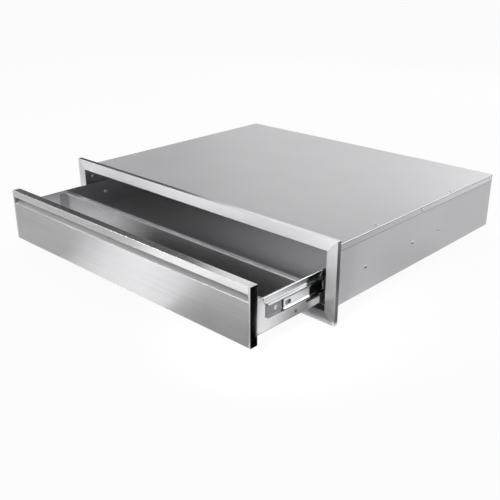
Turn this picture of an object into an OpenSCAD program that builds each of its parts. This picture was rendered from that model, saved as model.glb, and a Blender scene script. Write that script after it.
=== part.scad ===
// Built-in outdoor kitchen drawer: mitred trim frame, sheet-metal case, drawer with a
// recessed finger pull, and two telescoping ball-bearing slides.
// Pieces are drawn from the trim frame's front face (y = 0, +y into the wall), its middle
// (x = 0) and its bottom edge (z = 0). seated() then moves them to the part's own origin,
// the middle of the case's underside.

/* [Trim frame] */
// Outer width of the trim frame
trim_w = 760; // [660:10:900]
// Outer height of the trim frame
trim_h = 163; // [150:1:200]
// Face width of each mitred bar
trim_bar = 23; // [20:0.5:25]
// How far the outer edge is turned back to the wall
trim_deep = 9.5; // [8:0.5:10]
// How far the inner edge is turned back into the case
sleeve_deep = 27; // [25:0.5:29]
// Sheet thickness of the bars
trim_t = 1.2; // [0.8:0.1:1.4]

/* [Case] */
// How far each side wall stands outside the frame's opening
case_aside = 8; // [7.6:0.1:8.3]
// How far the case's underside lies above the opening's lower edge
case_rise = 3; // [2.6:0.1:3.4]
// How far the cover's top lies above the opening's upper edge
case_over = 7; // [6:0.5:9]
// Room in the case behind the shut drawer
case_behind = 51; // [35:1:90]
// Sheet thickness of the walls
case_t = 1.2; // [1:0.1:1.4]
// Width of the flanges that join the panels
case_flange = 14; // [11:0.5:16]
// Sheet thickness of the cover
cover_t = 1; // [0.8:0.1:1.2]
// How far the cover laps down over the sides
cover_lap = 14; // [12:0.5:17]

/* [Drawer front] */
// Gap between the drawer front and the trim at each end
front_gap_side = 2.75; // [2:0.05:3]
// Gap below the drawer front
front_gap_low = 2; // [1.6:0.1:2.4]
// Gap above the drawer front
front_gap_top = 4; // [2.5:0.1:5]
// Thickness of the drawer front
front_t = 17; // [15:0.5:18]
// Sheet thickness of the front's skins
skin_t = 1; // [0.8:0.1:1.1]
// Height of the lip over the finger pull
lip_h = 15; // [13:0.5:17]
// Height of the finger pull's mouth
pull_h = 13; // [11:0.5:15]
// Rise of the sloping shelf of the finger pull
pull_rise = 3.6; // [2:0.1:5]
// Width of the caps that close the front's ends
cap_w = 4.5; // [3.5:0.1:5.5]

/* [Drawer box] */
// How much longer the box is than its slides
box_longer = 30; // [26:1:45]
// Height of the box
box_h = 65; // [60:0.5:68]
// Height of the box's underside above the case's underside
box_rise = 14; // [11:0.5:16]
// Sheet thickness of the box
box_t = 1.2; // [0.8:0.1:1.4]
// Width of the turned hem on top of each side
hem_h = 6; // [5:0.25:8]
// Distance from the front's back to the divider
divider_at = 106; // [60:1:160]
// Height of the divider
divider_h = 60; // [50:0.5:61]
// Width of the divider's top and side flanges
divider_flange = 12; // [10:0.5:14]

/* [Slides] */
// Length of the case and drawer members
slide_len = 500; // [400:10:550]
// Room for one slide between box and case
slide_t = 12.7; // [12.5:0.05:12.9]
// Height of the drawer member
slide_h = 25.5; // [25:0.1:27]
// Height of the slide's middle above the box's underside
slide_rise = 37.5; // [35:0.5:40]
// Sheet thickness of the slide members
rail_t = 1.1; // [0.9:0.05:1.15]
// Diameter of the balls on the drawer side
ball_a_d = 2.2; // [2:0.05:2.25]
// Diameter of the balls on the case side
ball_b_d = 2; // [1.8:0.05:2.05]
// Distance between neighbouring balls
ball_pitch = 20; // [15:1:30]

/* [Opening] */
// How far the drawer stands open
rest_open = 190; // [100:5:300]

/* [Hidden] */
$fn = 32;
eps = 0.05;                 // overrun of cuts
free_gap = 0.3;             // free space between pieces that only pass each other
ball_gap = 0.04;            // running clearance of the balls
mid_share = 0.8;            // share of the drawer's travel made by the middle members

half_w = trim_w / 2;
open_half = half_w - trim_bar;              // half width of the frame's opening
open_low = trim_bar;
open_top = trim_h - trim_bar;

case_half = open_half + case_aside;
case_in = case_half - case_t;               // inner face of a side wall
case_low = open_low + case_rise;
case_top = open_top + case_over;
cover_under = case_top - cover_t;
case_front = trim_deep + case_t;            // case starts just behind the trim

front_half = open_half - front_gap_side;
front_low = open_low + front_gap_low;
front_top = open_top - front_gap_top;
lip_low = front_top - lip_h;
pull_low = lip_low - pull_h;
pull_deep = front_t - 4 * skin_t;           // riser at the back of the finger pull
shelf_fit = 0.2;            // between the shelf's end and the riser
riser_drop = 3;             // riser starts this far under the shelf's end

box_half = case_in - slide_t;               // outer face of a box side
box_low = case_low + box_rise;
box_top = box_low + box_h;
box_y = front_t;
box_end = box_y + slide_len + box_longer;
case_len = box_end + case_behind;           // from the trim's front face to the case's back
origin_y = case_len / 2;
box_in = box_half - box_t;
hem_gap = 0.2;
hem_start = 16;             // hem starts this far behind the front
wall_flange = 12;           // flanges of the box's panels

chan_setback = 23;          // drawer member starts this far behind the front
chan_y = box_y + chan_setback;
sleeve_room = 0.77;         // drawer member passes the trim's sleeve at this distance
chan_deep = open_half - box_half - sleeve_room;
chan_half = slide_h / 2;
slide_mid = box_low + slide_rise;
mid_setback = 3;            // other members start this far behind the drawer member
mid_y = chan_y + mid_setback;
mid_short = 30;             // the middle member is this much shorter
mid_len = slide_len - mid_short;
web_gap = 1;                // between the webs of the drawer and middle members
mid_web = rail_t + web_gap;

// A sheet bent along a line of points: straight legs with round bends
module bent(path, t) {
  for (i = [0 : len(path) - 2]) {
    leg = path[i + 1] - path[i];
    translate(path[i]) rotate(atan2(leg[1], leg[0]))
      translate([0, -t / 2]) square([norm(leg), t]);
  }
  for (i = [1 : 1 : len(path) - 2]) translate(path[i]) circle(d = t);
}

// Outlines drawn as (y, z), (x, z) and (x, y), pulled along the third axis
module along_x(from, to) {
  translate([from, 0, 0]) rotate([90, 0, 90]) linear_extrude(to - from) children();
}
module along_y(from, to) {
  translate([0, to, 0]) rotate([90, 0, 0]) linear_extrude(to - from) children();
}
module along_z(from, to) {
  translate([0, 0, from]) linear_extrude(to - from) children();
}

module box3(low, high) {
  translate(low) cube(high - low);
}

module seated() {
  translate([0, -origin_y, -case_low]) children();
}

// Pieces that slide with the drawer, by the share of its travel that they make
module moved(travel_share) {
  translate([0, -rest_open * travel_share, 0]) children();
}

module left_hand() {
  mirror([1, 0, 0]) children();
}

module both_sides() {
  children();
  mirror([1, 0, 0]) children();
}

// A formed-head screw or rivet whose head stands up from z = 0
module fastener(head_d, head_h, shank_d, shank_len) {
  crown_share = 0.72;
  edge_share = 0.45;
  rotate_extrude() polygon([
    [0, -shank_len], [shank_d / 2, -shank_len], [shank_d / 2, 0], [head_d / 2, 0],
    [head_d / 2, head_h * edge_share], [head_d / 2 * crown_share, head_h], [0, head_h]
  ]);
}

// Turns a fastener's head from +z towards +x
module head_out() {
  rotate([0, 90, 0]) children();
}

module round_hole(d, from, to) {
  translate([0, 0, from]) cylinder(d = d, h = to - from);
}

// Screw sizes
screw_d = 4;
screw_head_d = 8;
screw_head_h = 1.6;
screw_fit = 0.05;           // clearance of a shank in its hole
low_head_h = 0.75;          // flat heads that the middle member passes over
hole_d = screw_d + 2 * screw_fit;
jamb_hole_d = 5.2;
jamb_y = 14;
jamb_low = 29;              // lower jamb hole above the opening's edge
jamb_space = 46;
fix_y = 21.5;
fix_edge = 20;              // frame screws from the opening's edges
leg_x = open_half + trim_t; // case's front leg lies on the trim's sleeve

fix_z = [open_low + fix_edge, open_top - fix_edge];
jamb_z = [open_low + jamb_low, open_low + jamb_low + jamb_space];
rail_screw_shares = [0.132, 0.458, 0.66];
box_screw_shares = [0.046, 0.396, 0.86];
cover_screw_shares = [0.2475, 0.7];
cover_side_drop = 6.5;      // screws in the cover's laps, below its top
cover_side_z = case_top - cover_side_drop;
back_flange = 18;
cover_side_y = [case_len / 2, case_len - 2 / 3 * back_flange];
cover_screw_x = case_in - case_flange / 2;

// One mitred bar of the trim, its outer edge down, its face at y = 0
module trim_bar_piece(len) {
  e = trim_t / 2;
  intersection() {
    along_x(-len / 2, len / 2)
      bent([[trim_deep, e], [e, e], [e, trim_bar - e], [sleeve_deep, trim_bar - e]], trim_t);
    along_y(-eps, sleeve_deep + eps)
      polygon([[-len / 2, 0], [len / 2, 0], [len / 2 - trim_bar, trim_bar], [trim_bar - len / 2, trim_bar]]);
  }
}

module trim_bottom() {
  color("gainsboro") trim_bar_piece(trim_w);
}
module trim_top() {
  color("gainsboro") translate([0, 0, trim_h]) rotate([0, 180, 0]) trim_bar_piece(trim_w);
}
module trim_side() {
  color("lightgray") difference() {
    translate([half_w, 0, trim_h / 2]) rotate([0, -90, 0]) trim_bar_piece(trim_h);
    sleeve_holes();
  }
}
module trim_right() {
  trim_side();
}
module trim_left() {
  left_hand() trim_side();
}

// Screw holes through the trim's sleeve and the case's front edge
module sleeve_holes() {
  for (z = fix_z) translate([0, fix_y, z])
    head_out() round_hole(hole_d, open_half - eps, leg_x + case_t + eps);
  for (z = jamb_z) translate([0, jamb_y, z])
    head_out() round_hole(jamb_hole_d, open_half - eps, case_half + eps);
}

module trim_screws() {
  color("silver") both_sides() for (z = fix_z) translate([open_half, fix_y, z])
    rotate([0, -90, 0]) fastener(screw_head_d, screw_head_h, screw_d, trim_t + 2 * case_t);
}

// Side wall: its front edge is turned in and back along the trim's sleeve
module case_side() {
  e = case_t / 2;
  flange_x = case_in - case_flange;
  flange_y = sleeve_deep + 3 * case_t;
  color("darkgray") difference() {
    union() {
      along_z(case_low, cover_under) bent([
        [case_half - e, case_len], [case_half - e, case_front + e],
        [leg_x + e, case_front + e], [leg_x + e, sleeve_deep]
      ], case_t);
      box3([flange_x, flange_y, cover_under - case_t], [case_in + e, case_len - 2 * case_t, cover_under]);
      box3([flange_x, flange_y, case_low + case_t], [case_in + e, case_len - 2 * case_t, case_low + 2 * case_t]);
    }
    sleeve_holes();
    for (s = rail_screw_shares) translate([0, mid_y + s * slide_len, slide_mid])
      head_out() round_hole(hole_d, case_in - eps, case_half + eps);
    for (y = cover_side_y) translate([0, y, cover_side_z])
      head_out() round_hole(hole_d, case_in - eps, case_half + eps);
    for (s = cover_screw_shares) translate([cover_screw_x, s * case_len, 0])
      round_hole(hole_d, cover_under - case_t - eps, cover_under + eps);
  }
}
module case_right() {
  case_side();
}
module case_left() {
  left_hand() case_side();
}

// Bottom panel with a stepped front lip that rests on the trim's lower sleeve
module case_bottom() {
  e = case_t / 2;
  step = case_low - open_low;
  lip_y = sleeve_deep + case_t;
  color("silver") union() {
    along_x(-open_half + free_gap, open_half - free_gap) bent([
      [front_t + 2 * case_t, open_low + e], [lip_y, open_low + e],
      [lip_y + step, case_low + e], [lip_y + 2 * step, case_low + e]
    ], case_t);
    box3([-case_in, lip_y + step, case_low], [case_in, case_len, case_low + case_t]);
  }
}

module case_back() {
  e = case_t / 2;
  inner = case_in - case_flange - free_gap;
  low = case_low + case_t;
  color("silver") difference() {
    union() {
      along_x(-inner, inner) bent([
        [case_len - back_flange, low + e], [case_len - e, low + e],
        [case_len - e, cover_under - e], [case_len - back_flange, cover_under - e]
      ], case_t);
      box3([-case_in, case_len - case_t, low], [case_in, case_len, cover_under]);
      both_sides() box3([case_in - case_t, case_len - back_flange, low + 2 * case_t],
        [case_in, case_len, cover_under - 2 * case_t]);
    }
    both_sides() translate([0, cover_side_y[1], cover_side_z])
      head_out() round_hole(hole_d, case_in - case_t - eps, case_in + eps);
  }
}

// Cover: laps down over the sides and the back, and over the trim's upper sleeve in front
module case_cover() {
  e = cover_t / 2;
  lap_z = case_top - cover_lap;
  color("silver") difference() {
    union() {
      along_y(case_front, case_len - cover_t) bent([
        [-case_half - e, lap_z], [-case_half - e, case_top - e],
        [case_half + e, case_top - e], [case_half + e, lap_z]
      ], cover_t);
      along_x(-case_half + cover_t, case_half - cover_t) bent([
        [case_len - 2 * cover_t, case_top - e], [case_len + e, case_top - e], [case_len + e, lap_z]
      ], cover_t);
      along_x(-leg_x + free_gap, leg_x - free_gap) bent([
        [case_front + 2 * cover_t, case_top - e], [case_front + e, case_top - e],
        [case_front + e, open_top + trim_t]
      ], cover_t);
    }
    both_sides() {
      for (s = cover_screw_shares) translate([cover_screw_x, s * case_len, 0])
        round_hole(hole_d, cover_under - eps, case_top + eps);
      for (y = cover_side_y) translate([0, y, cover_side_z])
        head_out() round_hole(hole_d, case_half - eps, case_half + cover_t + eps);
    }
  }
}

module cover_screws() {
  color("dimgray") both_sides() for (s = cover_screw_shares)
    translate([cover_screw_x, s * case_len, case_top])
      fastener(screw_head_d, screw_head_h, screw_d, cover_t + 2 * case_t);
}
module cover_side_screws() {
  color("dimgray") both_sides() for (y = cover_side_y) translate([case_half + cover_t, y, cover_side_z])
    head_out() fastener(screw_head_d, screw_head_h, screw_d, cover_t + 3 * case_t);
}
module case_rail_screws() {
  color("dimgray") both_sides() for (s = rail_screw_shares)
    translate([case_half, mid_y + s * slide_len, slide_mid])
      head_out() fastener(screw_head_d, screw_head_h, screw_d, case_t + 2 * rail_t);
}

skin_half = front_half - cap_w;

// Face and sloping shelf of the finger pull, in one bent sheet
module front_skin() {
  e = skin_t / 2;
  color("lightsteelblue") moved(1) along_x(-skin_half, skin_half) bent([
    [front_t - 2 * skin_t, front_low + e], [e, front_low + e], [e, pull_low],
    [pull_deep - e - shelf_fit, pull_low + pull_rise]
  ], skin_t);
}

// Lip over the finger pull, hemmed along its lower edge
module front_lip() {
  e = skin_t / 2;
  hem_y = e + skin_t + hem_gap;
  color("lightsteelblue") moved(1) along_x(-skin_half, skin_half) bent([
    [hem_y, lip_low + e + hem_h], [hem_y, lip_low + e], [e, lip_low + e], [e, front_top]
  ], skin_t);
}

module front_back() {
  e = skin_t / 2;
  color("lightslategray") moved(1) difference() {
    along_x(-skin_half, skin_half) bent([
      [front_t - e, front_top], [front_t - e, front_low + skin_t + e], [4 * skin_t, front_low + skin_t + e]
    ], skin_t);
    front_screw_places() rotate([-90, 0, 0]) round_hole(hole_d, -2 * skin_t, eps);
  }
}

// Back and roof of the finger pull's pocket
module pull_riser() {
  e = skin_t / 2;
  low = pull_low + pull_rise - riser_drop;
  color("lightslategray") moved(1) along_x(-skin_half, skin_half) bent([
    [front_t - skin_t, low], [pull_deep, low], [pull_deep, front_top - skin_t]
  ], skin_t);
}
module pull_roof() {
  color("lightslategray") moved(1)
    box3([-skin_half, skin_t, front_top - skin_t], [skin_half, front_t - skin_t, front_top]);
}

module front_cap() {
  color("gainsboro") moved(1) difference() {
    box3([skin_half + screw_fit, 0, front_low], [front_half, front_t, front_top]);
    box3([skin_half - eps, skin_t, front_low + skin_t],
      [front_half - skin_t, front_t - skin_t, front_top - skin_t]);
  }
}
module front_cap_right() {
  front_cap();
}
module front_cap_left() {
  left_hand() front_cap();
}

front_screw_x_shares = [-0.86, -0.3, 0.3, 0.86];
front_screw_z_shares = [0.3, 0.76];
module front_screw_places() {
  for (sx = front_screw_x_shares) for (sz = front_screw_z_shares)
    translate([sx * box_in, front_t, box_low + sz * box_h]) children();
}
module front_screws() {
  color("silver") moved(1) front_screw_places() translate([0, box_t, 0])
    rotate([-90, 0, 0]) fastener(screw_head_d, screw_head_h, screw_d, box_t + 2 * skin_t);
}

divider_y = box_y + divider_at;
floor_top = box_low + 2 * box_t;
rivet_d = 4;
rivet_head_d = 6.5;
rivet_head_h = 1;
rivet_rise = 10;            // rivets above the box's underside
rivet_z = box_low + rivet_rise;
rivet_y = divider_y - divider_flange / 2;

module box_side() {
  e = box_t / 2;
  hem_x = box_half + hem_gap + e;
  color("gray") moved(1) difference() {
    union() {
      along_y(box_y, box_end) bent([
        [box_half - wall_flange, box_low + e], [box_half - e, box_low + e], [box_half - e, box_top]
      ], box_t);
      along_y(box_y + hem_start, box_end) bent([
        [box_half - e, box_top - e], [hem_x, box_top - e], [hem_x, box_top - hem_h]
      ], box_t);
    }
    for (s = box_screw_shares) translate([0, chan_y + s * slide_len, slide_mid])
      head_out() round_hole(hole_d, box_in - eps, box_half + eps);
    translate([0, rivet_y, rivet_z]) head_out() round_hole(rivet_d + 2 * screw_fit, box_in - eps, box_half + eps);
  }
}
module box_right() {
  box_side();
}
module box_left() {
  left_hand() box_side();
}

module box_floor() {
  color("dimgray") moved(1)
    box3([-box_in, box_y + box_t, box_low + box_t], [box_in, box_end - box_t, floor_top]);
}

// End wall of the box at y = 0, its flanges turned towards +y
module box_end_wall(top) {
  e = box_t / 2;
  inner = box_half - wall_flange - free_gap;
  along_x(-inner, inner) bent([
    [wall_flange, box_low + e], [e, box_low + e], [e, top]
  ], box_t);
  box3([-box_in, 0, floor_top], [box_in, box_t, top]);
  both_sides() box3([box_in - box_t, 0, floor_top], [box_in, wall_flange, top]);
}
module box_front() {
  color("darkgray") moved(1) difference() {
    translate([0, box_y, 0]) box_end_wall(floor_top + divider_h);
    front_screw_places() rotate([-90, 0, 0]) round_hole(hole_d, -eps, box_t + eps);
  }
}
module box_back() {
  color("darkgray") moved(1) translate([0, box_end, 0]) mirror([0, 1, 0]) box_end_wall(box_top);
}

// Divider: top and bottom flanges turned back, side flanges turned forward
module divider() {
  e = box_t / 2;
  top = floor_top + divider_h;
  color("silver") moved(1) difference() {
    union() {
      along_x(-box_in, box_in) bent([
        [divider_y + divider_flange, floor_top + e], [divider_y + e, floor_top + e],
        [divider_y + e, top - e], [divider_y + divider_flange, top - e]
      ], box_t);
      both_sides() box3([box_in - box_t, divider_y - divider_flange, floor_top],
        [box_in, divider_y + e, top - 2 * box_t]);
    }
    both_sides() translate([0, rivet_y, rivet_z])
      head_out() round_hole(rivet_d + 2 * screw_fit, box_in - box_t - eps, box_in + eps);
  }
}
module divider_rivets() {
  color("silver") moved(1) both_sides() translate([box_half, rivet_y, rivet_z])
    head_out() union() {
      fastener(rivet_head_d, rivet_head_h, rivet_d, 2 * box_t);
      translate([0, 0, -2 * box_t]) mirror([0, 0, 1]) fastener(rivet_head_d, rivet_head_h, rivet_d, eps);
    }
}

// Slide sections, drawn as (distance from the box side, height from the slide's middle)
bite = 0.3;                 // depth of the ball tracks
ball_a_x = (mid_web + chan_deep) / 2;
ball_a_z = chan_half - rail_t + bite - ball_a_d / 2;
mid_half = chan_half - rail_t - ball_a_d + 2 * bite;
ball_b_x = mid_web + rail_t + free_gap + ball_b_d / 2;
ball_b_z = mid_half - rail_t + bite - ball_b_d / 2;
core_half = mid_half - rail_t - ball_b_d + 2 * bite;
core_x = mid_web + rail_t + free_gap / 2;
cage_t = 0.6;
cage_a_share = 0.44;
cage_a_at_share = 0.27;
cage_b_share = 0.18;
cage_b_at_share = 0.378;
corner_r = 4;
tab_half = chan_half - 3 * rail_t;

module tracks(x, z, d) {
  for (s = [-1, 1]) translate([x, s * z]) circle(d = d + 2 * ball_gap);
}

// A channel from its web to its edges, its web's outside at x = web
module channel(web, edge, half) {
  e = rail_t / 2;
  in = web < edge ? e : -e;
  bent([[edge, half - e], [web + in, half - e], [web + in, e - half], [edge, e - half]], rail_t);
}

module on_slide() {
  translate([box_half, 0, slide_mid]) children();
}

// Side view of a member, with rounded corners
module rounded_side(from, to, half, r) {
  along_x(-eps, slide_t + eps) {
    translate([from + r, -half]) square([to - from - 2 * r, 2 * half]);
    translate([from, r - half]) square([to - from, 2 * half - 2 * r]);
    for (y = [from + r, to - r]) for (s = [-1, 1]) translate([y, s * (half - r)]) circle(r = r);
  }
}

module drawer_member() {
  color("lightgray") moved(1) on_slide() difference() {
    union() {
      intersection() {
        along_y(chan_y, chan_y + slide_len) difference() {
          channel(0, chan_deep, chan_half);
          tracks(ball_a_x, ball_a_z, ball_a_d);
        }
        rounded_side(chan_y, chan_y + slide_len, chan_half, corner_r);
      }
      box3([rail_t / 2, chan_y, -tab_half], [chan_deep - rail_t / 2, chan_y + rail_t, tab_half]);
    }
    for (s = box_screw_shares) translate([0, chan_y + s * slide_len, 0])
      head_out() round_hole(hole_d, -eps, rail_t + eps);
  }
}

// The middle member has slots that the case member's screws are reached through
module middle_member() {
  slot_shares = [0.008, 0.27, 0.5, 0.84];
  slot_d = 9;
  slot_lens = [6, 24, 24, 24];
  color("whitesmoke") moved(mid_share) on_slide() difference() {
    along_y(mid_y, mid_y + mid_len) difference() {
      channel(mid_web, chan_deep, mid_half);
      tracks(ball_a_x, ball_a_z, ball_a_d);
      tracks(ball_b_x, ball_b_z, ball_b_d);
    }
    for (i = [0 : len(slot_shares) - 1])
      translate([0, mid_y + slot_shares[i] * mid_len + slot_d / 2, 0]) {
        for (y = [0, slot_lens[i]]) translate([0, y, 0])
          head_out() round_hole(slot_d, mid_web - eps, chan_deep);
        box3([mid_web - eps, 0, -slot_d / 2], [chan_deep, slot_lens[i], slot_d / 2]);
      }
  }
}

module case_member() {
  color("silver") on_slide() difference() {
    along_y(mid_y, mid_y + slide_len) difference() {
      channel(slide_t, core_x, core_half);
      tracks(ball_b_x, ball_b_z, ball_b_d);
    }
    for (s = rail_screw_shares) translate([0, mid_y + s * slide_len, 0])
      head_out() round_hole(hole_d, slide_t - rail_t - eps, slide_t + eps);
  }
}

cage_a_y = chan_y + cage_a_at_share * slide_len;
cage_b_y = mid_y + cage_b_at_share * slide_len;
cage_a_len = cage_a_share * slide_len;
cage_b_len = cage_b_share * slide_len;
cage_a_x = [rail_t + free_gap, chan_deep - 2 * eps];
cage_b_x = [mid_web + rail_t + 2 * eps, ball_b_x + ball_b_d];

function ball_count(len) = floor((len - ball_pitch) / ball_pitch) + 1;

// Places of the balls in both rows of a cage
module in_rows(x, z, y, len) {
  n = ball_count(len);
  first = y + (len - (n - 1) * ball_pitch) / 2;
  for (s = [-1, 1]) for (i = [0 : n - 1]) translate([x, first + i * ball_pitch, s * z]) children();
}
module cage(xs, x, z, y, len, d) {
  difference() {
    for (s = [-1, 1]) translate([0, 0, s * z])
      box3([xs[0], y, -cage_t / 2], [xs[1], y + len, cage_t / 2]);
    in_rows(x, z, y, len) translate([0, 0, -d]) cylinder(d = d + 2 * ball_gap, h = 2 * d);
  }
}
module outer_cage() {
  color("tan") moved((1 + mid_share) / 2) on_slide()
    cage(cage_a_x, ball_a_x, ball_a_z, cage_a_y, cage_a_len, ball_a_d);
}
module inner_cage() {
  color("tan") moved(mid_share / 2) on_slide()
    cage(cage_b_x, ball_b_x, ball_b_z, cage_b_y, cage_b_len, ball_b_d);
}
module outer_balls() {
  color("white") moved((1 + mid_share) / 2) on_slide()
    in_rows(ball_a_x, ball_a_z, cage_a_y, cage_a_len) sphere(d = ball_a_d);
}
module inner_balls() {
  color("white") moved(mid_share / 2) on_slide()
    in_rows(ball_b_x, ball_b_z, cage_b_y, cage_b_len) sphere(d = ball_b_d);
}

// Rubber stop that the middle member meets when the drawer is shut
module slide_stop() {
  stop_len = 9;
  stop_y = mid_y + mid_len + free_gap;
  half = core_half - rail_t;
  color("black") on_slide()
    box3([mid_web + free_gap, stop_y, -half], [slide_t - rail_t, stop_y + stop_len, half]);
}

// Screws that hold the drawer members, with nuts inside the box
nut_af = 7;
nut_h = 2.4;
module box_rail_screws() {
  color("silver") moved(1) both_sides() for (s = box_screw_shares)
    translate([box_half + rail_t, chan_y + s * slide_len, slide_mid])
      head_out() fastener(screw_head_d, low_head_h, screw_d, rail_t + box_t + nut_h + screw_fit);
}
module box_rail_nuts() {
  color("silver") moved(1) both_sides() for (s = box_screw_shares)
    translate([box_in - nut_h, chan_y + s * slide_len, slide_mid]) head_out() difference() {
      cylinder(d = nut_af / cos(30), h = nut_h, $fn = 6);
      round_hole(hole_d, -eps, nut_h + eps);
    }
}

module right_case_member() {
  case_member();
}
module left_case_member() {
  left_hand() case_member();
}
module right_middle_member() {
  middle_member();
}
module left_middle_member() {
  left_hand() middle_member();
}
module right_drawer_member() {
  drawer_member();
}
module left_drawer_member() {
  left_hand() drawer_member();
}
module right_outer_cage() {
  outer_cage();
}
module left_outer_cage() {
  left_hand() outer_cage();
}
module right_outer_balls() {
  outer_balls();
}
module left_outer_balls() {
  left_hand() outer_balls();
}
module right_inner_cage() {
  inner_cage();
}
module left_inner_cage() {
  left_hand() inner_cage();
}
module right_inner_balls() {
  inner_balls();
}
module left_inner_balls() {
  left_hand() inner_balls();
}
module right_slide_stop() {
  slide_stop();
}
module left_slide_stop() {
  left_hand() slide_stop();
}

seated() trim_top();
seated() trim_bottom();
seated() trim_left();
seated() trim_right();
seated() trim_screws();
seated() case_left();
seated() case_right();
seated() case_bottom();
seated() case_back();
seated() case_cover();
seated() cover_screws();
seated() cover_side_screws();
seated() case_rail_screws();
seated() front_skin();
seated() front_lip();
seated() front_back();
seated() pull_riser();
seated() pull_roof();
seated() front_cap_left();
seated() front_cap_right();
seated() front_screws();
seated() box_left();
seated() box_right();
seated() box_floor();
seated() box_front();
seated() box_back();
seated() divider();
seated() divider_rivets();
seated() box_rail_screws();
seated() box_rail_nuts();
seated() left_case_member();
seated() right_case_member();
seated() left_middle_member();
seated() right_middle_member();
seated() left_drawer_member();
seated() right_drawer_member();
seated() left_outer_cage();
seated() right_outer_cage();
seated() left_outer_balls();
seated() right_outer_balls();
seated() left_inner_cage();
seated() right_inner_cage();
seated() left_inner_balls();
seated() right_inner_balls();
seated() left_slide_stop();
seated() right_slide_stop();
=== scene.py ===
import math

import bmesh
import bpy
from mathutils import Matrix, Vector


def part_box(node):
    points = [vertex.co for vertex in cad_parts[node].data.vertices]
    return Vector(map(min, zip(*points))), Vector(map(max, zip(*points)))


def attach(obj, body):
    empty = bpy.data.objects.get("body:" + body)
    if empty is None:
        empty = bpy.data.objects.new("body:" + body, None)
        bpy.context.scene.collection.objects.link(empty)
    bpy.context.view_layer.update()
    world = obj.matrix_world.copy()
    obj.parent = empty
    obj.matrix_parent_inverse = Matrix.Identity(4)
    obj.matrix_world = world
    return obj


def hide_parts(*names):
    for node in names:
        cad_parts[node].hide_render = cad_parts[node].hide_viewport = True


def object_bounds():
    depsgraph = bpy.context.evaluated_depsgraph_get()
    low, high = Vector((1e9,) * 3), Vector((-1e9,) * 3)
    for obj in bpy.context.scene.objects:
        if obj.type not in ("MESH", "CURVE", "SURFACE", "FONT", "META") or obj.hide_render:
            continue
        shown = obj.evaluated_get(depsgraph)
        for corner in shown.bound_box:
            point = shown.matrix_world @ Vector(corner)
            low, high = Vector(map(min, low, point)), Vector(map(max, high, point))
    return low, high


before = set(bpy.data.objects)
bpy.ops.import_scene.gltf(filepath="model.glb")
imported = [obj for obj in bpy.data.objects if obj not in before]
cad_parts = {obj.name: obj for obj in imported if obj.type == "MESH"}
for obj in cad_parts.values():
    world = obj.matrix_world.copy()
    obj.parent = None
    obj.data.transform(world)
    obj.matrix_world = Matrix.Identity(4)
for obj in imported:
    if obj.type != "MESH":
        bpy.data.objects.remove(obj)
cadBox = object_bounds()
scene = bpy.context.scene
mm = 0.001

# Places are millimetres from the zero point: the trim's front face, its middle and its bottom edge
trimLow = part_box("trim_bottom")[0]
zeroPoint = Vector((0, trimLow.y, trimLow.z))


def at(x, y, z):
    return zeroPoint + Vector((x, y, z)) * mm


def nodeBox(node):
    low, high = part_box(node)
    return (low - zeroPoint) / mm, (high - zeroPoint) / mm


print("frame loaded")


# Materials

def linear(hexColour):
    def channel(v):
        return v / 12.92 if v <= 0.04045 else ((v + 0.055) / 1.055) ** 2.4
    parts = [int(hexColour[i:i + 2], 16) / 255 for i in (1, 3, 5)]
    return [channel(v) for v in parts] + [1]


def addNode(tree, kind, settings=None, inputs=None, links=None):
    node = tree.nodes.new(kind)
    for key, value in (settings or {}).items():
        setattr(node, key, value)
    for key, value in (inputs or {}).items():
        node.inputs[key].default_value = value
    for key, socket in (links or {}).items():
        tree.links.new(socket, node.inputs[key])
    return node


def emptyMaterial(name):
    material = bpy.data.materials.new(name)
    material.use_nodes = True
    tree = material.node_tree
    tree.nodes.clear()
    return material, tree


# Most of a noise lies within these values, so roughness and colours are spread over them
noiseRange = {"From Min": 0.3, "From Max": 0.7}
colourRange = (0.35, 0.65)


def rampStops(node, places, colours):
    for stop, place, colour in zip(node.color_ramp.elements, places, colours):
        stop.position = place
        stop.color = linear(colour)


# Brushed 304 stainless: fine parallel scratches draw the highlights out across the grain. Their width and
# length are drawn a few times coarser than a 240 grit belt leaves, or they would not show
brushLook = {
    "lineMm": 1, "lineLengthMm": 120, "bandMm": 1.8, "bandLengthMm": 300, "cloudPerMetre": 4, "drift": 0.03,
    "dark": "#b9b9bb", "light": "#cacacb", "metal": 1, "roughLow": 0.37, "roughHigh": 0.41,
    "scratch": 0.15, "scratchMm": 0.012, "anisotropy": 0.9, "drawnOut": (0, 0, 1),
}


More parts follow.
